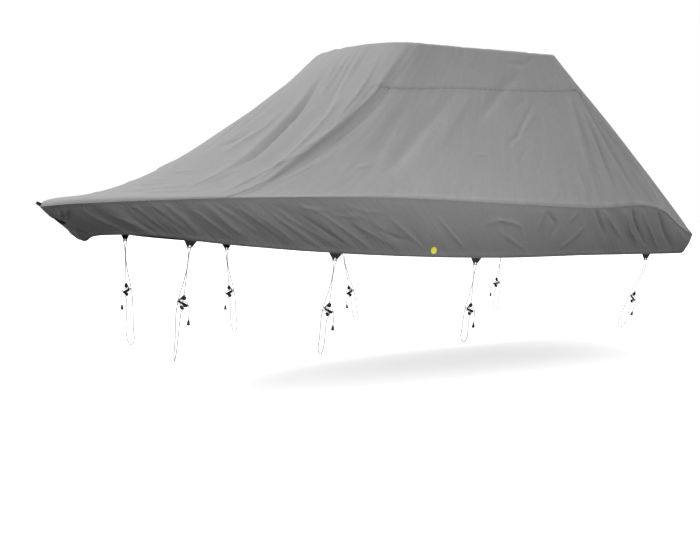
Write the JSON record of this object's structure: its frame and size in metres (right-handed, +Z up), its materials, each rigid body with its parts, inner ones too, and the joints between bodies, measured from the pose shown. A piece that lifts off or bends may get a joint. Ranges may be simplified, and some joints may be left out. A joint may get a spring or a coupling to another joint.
{
  "type": "boat cover with tie ropes",
  "caption": "Fitted cloth cover for a boat with a raised hard top: peaked centre panel, side panels, angled skirt, hem tabs and tie ropes with hooks.",
  "frame": {"origin": "point under the middle of the roof where the cover is held up, on the centreline", "axes": "+X aft, +Y to starboard, +Z up"},
  "size_m": [6.6787, 2.4056, 2.8428],
  "materials": {
    "top_cloth": "matt woven polyester, mid grey",
    "skirt_cloth": "matt woven polyester, darker grey",
    "webbing": "black woven webbing",
    "rope": "white braided cord",
    "hook": "black moulded plastic",
    "patch": "plain yellow"
  },
  "bodies": {
    "root": {"centre_panel": "top_cloth", "side_panel_port": "top_cloth", "side_panel_starboard": "top_cloth", "skirt_port": "skirt_cloth", "skirt_starboard": "skirt_cloth", "tab_port_1": "webbing", "hook_port_1": "hook", "rope_port_1": "rope", "rope_end_port_1": "hook", "tab_port_2": "webbing", "hook_port_2": "hook", "rope_port_2": "rope", "rope_end_port_2": "hook", "tab_port_3": "webbing", "hook_port_3": "hook", "rope_port_3": "rope", "rope_end_port_3": "hook", "tab_port_4": "webbing", "hook_port_4": "hook", "rope_port_4": "rope", "rope_end_port_4": "hook", "tab_starboard_1": "webbing", "hook_starboard_1": "hook", "rope_starboard_1": "rope", "rope_end_starboard_1": "hook", "tab_starboard_2": "webbing", "hook_starboard_2": "hook", "rope_starboard_2": "rope", "rope_end_starboard_2": "hook", "tab_starboard_3": "webbing", "hook_starboard_3": "hook", "rope_starboard_3": "rope", "rope_end_starboard_3": "hook", "tab_starboard_4": "webbing", "hook_starboard_4": "hook", "rope_starboard_4": "rope", "rope_end_starboard_4": "hook", "bow_tab": "webbing", "stem_tab": "webbing", "round_patch": "patch"}
  },
  "joints": []
}
